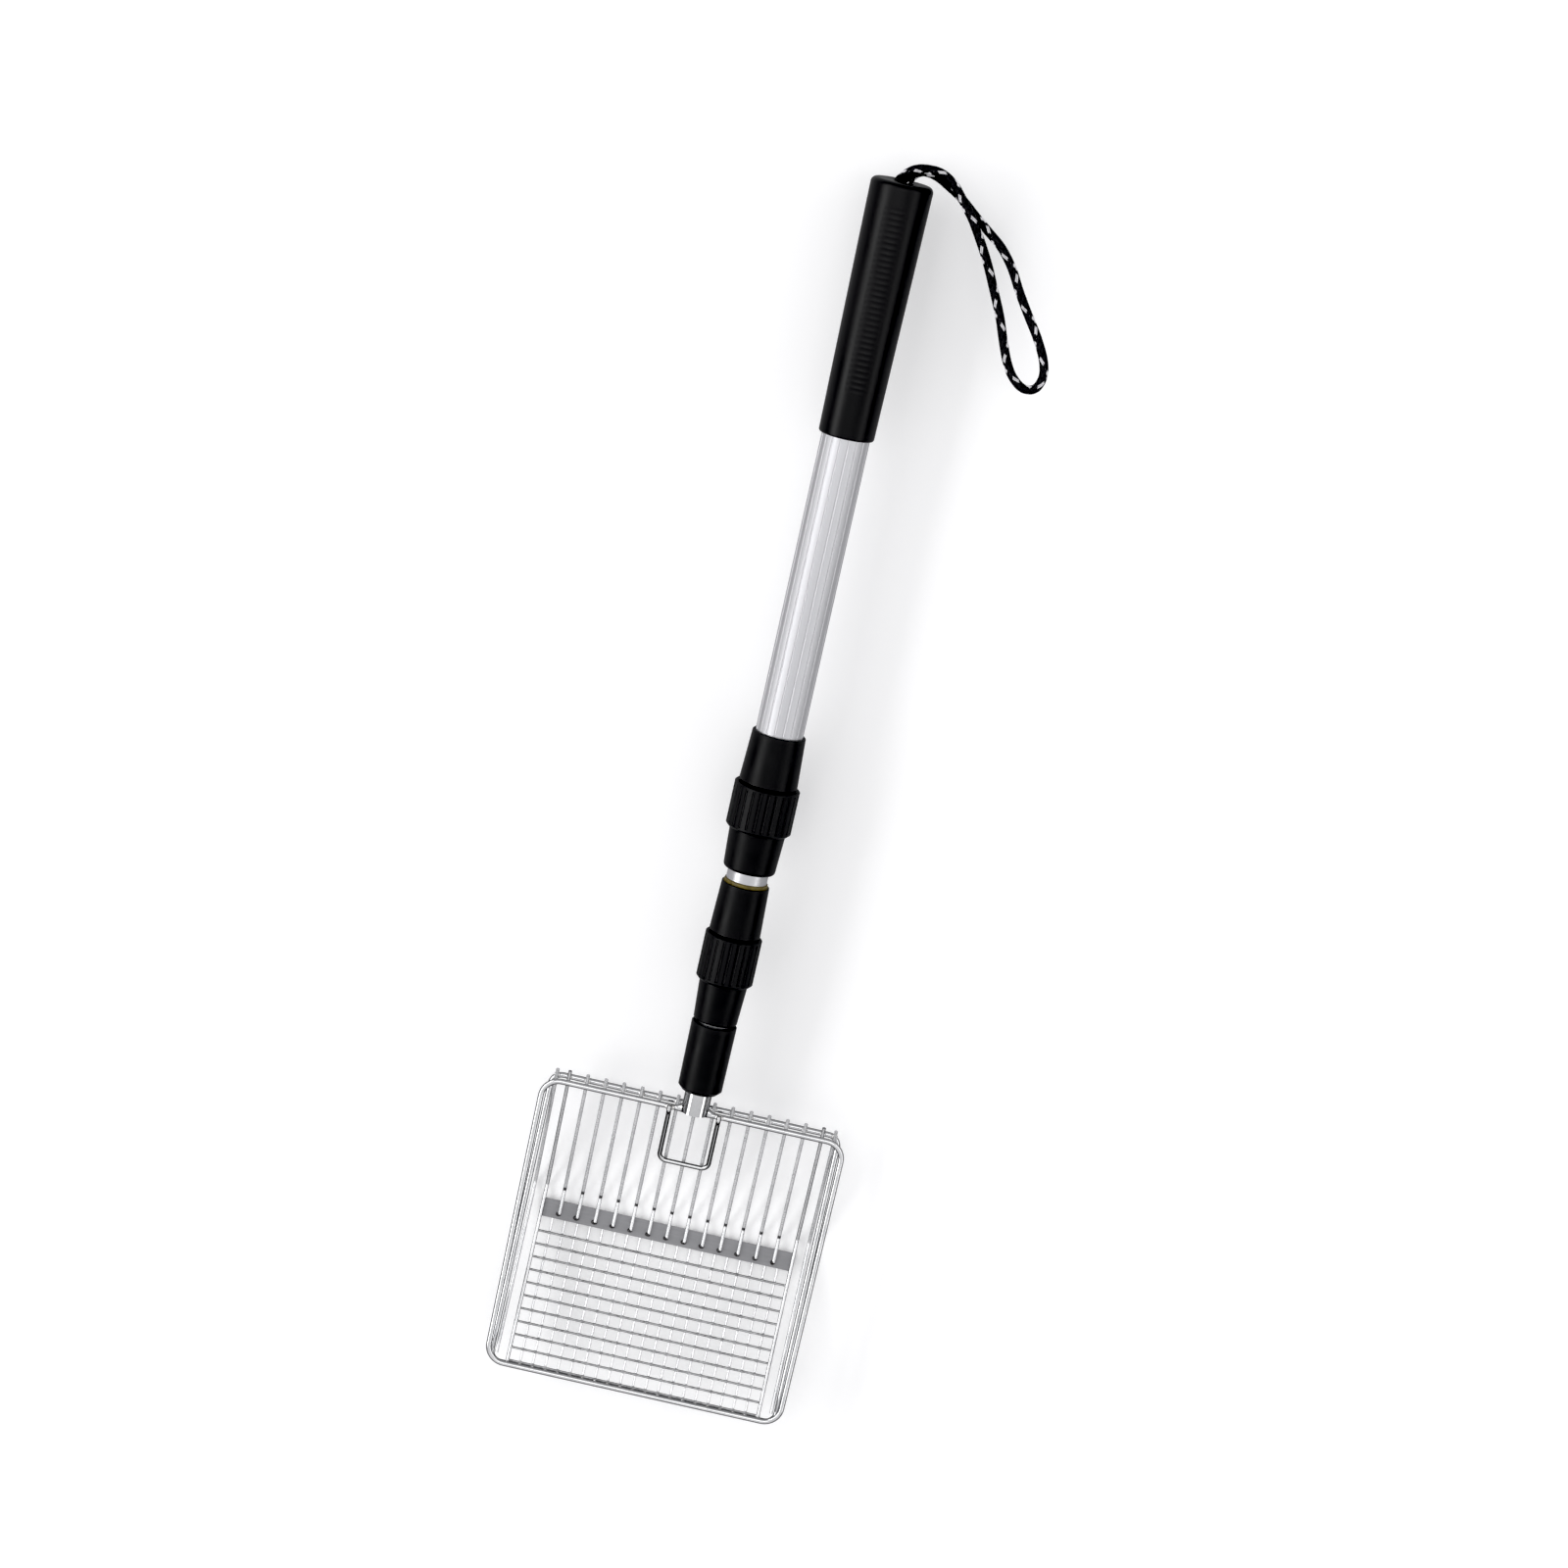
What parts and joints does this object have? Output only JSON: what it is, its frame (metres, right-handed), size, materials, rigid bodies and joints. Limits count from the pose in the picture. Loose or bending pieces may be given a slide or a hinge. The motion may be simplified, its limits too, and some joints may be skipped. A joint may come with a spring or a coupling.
{
  "type": "telescopic wire basket scoop",
  "caption": "Shallow wire basket with rods and square mesh on a twist-lock telescopic pole with a rubber grip and a wrist cord, for lifting algae and debris from ponds and tanks.",
  "frame": {"origin": "on the pole's axis, at the middle of the mouth rim's back wire, in the plane of the basket's mouth", "axes": "+Y along the pole from the basket to the grip, +Z out of the basket's mouth, +X to the right seen from above with the grip away from the viewer"},
  "size_m": [0.1746, 0.6748, 0.0462],
  "materials": {
    "chromed_steel": "bright plated round wire",
    "mesh_steel": "bright galvanised wire",
    "strip_steel": "dull grey rolled strip",
    "fluted_aluminium": "satin, fluted along its length",
    "plain_aluminium": "satin",
    "lock_plastic": "moulded, semi-gloss black",
    "collet_plastic": "natural white acetal",
    "seal_rubber": "olive sealing ring",
    "grip_rubber": "moulded rubber, fine cross ribs",
    "cord_fabric": "braided cord, black with pale flecks"
  },
  "bodies": {
    "handle": {"outer_tube": "fluted_aluminium", "grip_sleeve": "grip_rubber", "end_plug": "lock_plastic", "upper_collar": "lock_plastic", "upper_collet": "collet_plastic"},
    "upper_nut": {"upper_lock_nut": "lock_plastic"},
    "middle_section": {"middle_tube": "plain_aluminium", "middle_guide_plug": "collet_plastic", "lower_collar": "lock_plastic", "lower_collar_ring": "seal_rubber", "lower_collet": "collet_plastic"},
    "lower_nut": {"lower_lock_nut": "lock_plastic"},
    "head": {"inner_tube": "plain_aluminium", "inner_guide_plug": "collet_plastic", "tip_socket": "lock_plastic", "ferrule": "chromed_steel", "mouth_rim": "chromed_steel", "lower_rim": "chromed_steel", "back_rods": "chromed_steel", "edge_rods": "chromed_steel", "side_rails": "chromed_steel", "floor_strip": "strip_steel", "floor_long_wires": "mesh_steel", "floor_cross_wires": "mesh_steel", "brace_loop": "chromed_steel"},
    "cord_turn": {"cord_knot": "cord_fabric"},
    "cord_loop": {"wrist_cord": "cord_fabric"}
  },
  "joints": [
    {"name": "upper_nut_turn", "type": "hinge", "parent": "handle", "child": "upper_nut", "pos_m": [0, 0.158, 0], "axis": [0, -1, 0], "range_deg": [0, 270]},
    {"name": "middle_slide", "type": "slide", "parent": "handle", "child": "middle_section", "axis": [0, -1, 0], "range_m": [0, 0.24]},
    {"name": "lower_nut_turn", "type": "hinge", "parent": "middle_section", "child": "lower_nut", "pos_m": [0, 0.075, 0], "axis": [0, -1, 0], "range_deg": [0, 270]},
    {"name": "inner_slide", "type": "slide", "parent": "middle_section", "child": "head", "axis": [0, -1, 0], "range_m": [0, 0.24]},
    {"name": "cord_swivel", "type": "hinge", "parent": "handle", "child": "cord_turn", "pos_m": [0, 0.48, 0], "axis": [0, 1, 0], "continuous": true},
    {"name": "cord_swing", "type": "hinge", "parent": "cord_turn", "child": "cord_loop", "pos_m": [0.001, 0.5045, 0], "axis": [0, 0, 1], "range_deg": [-10, 125]}
  ]
}
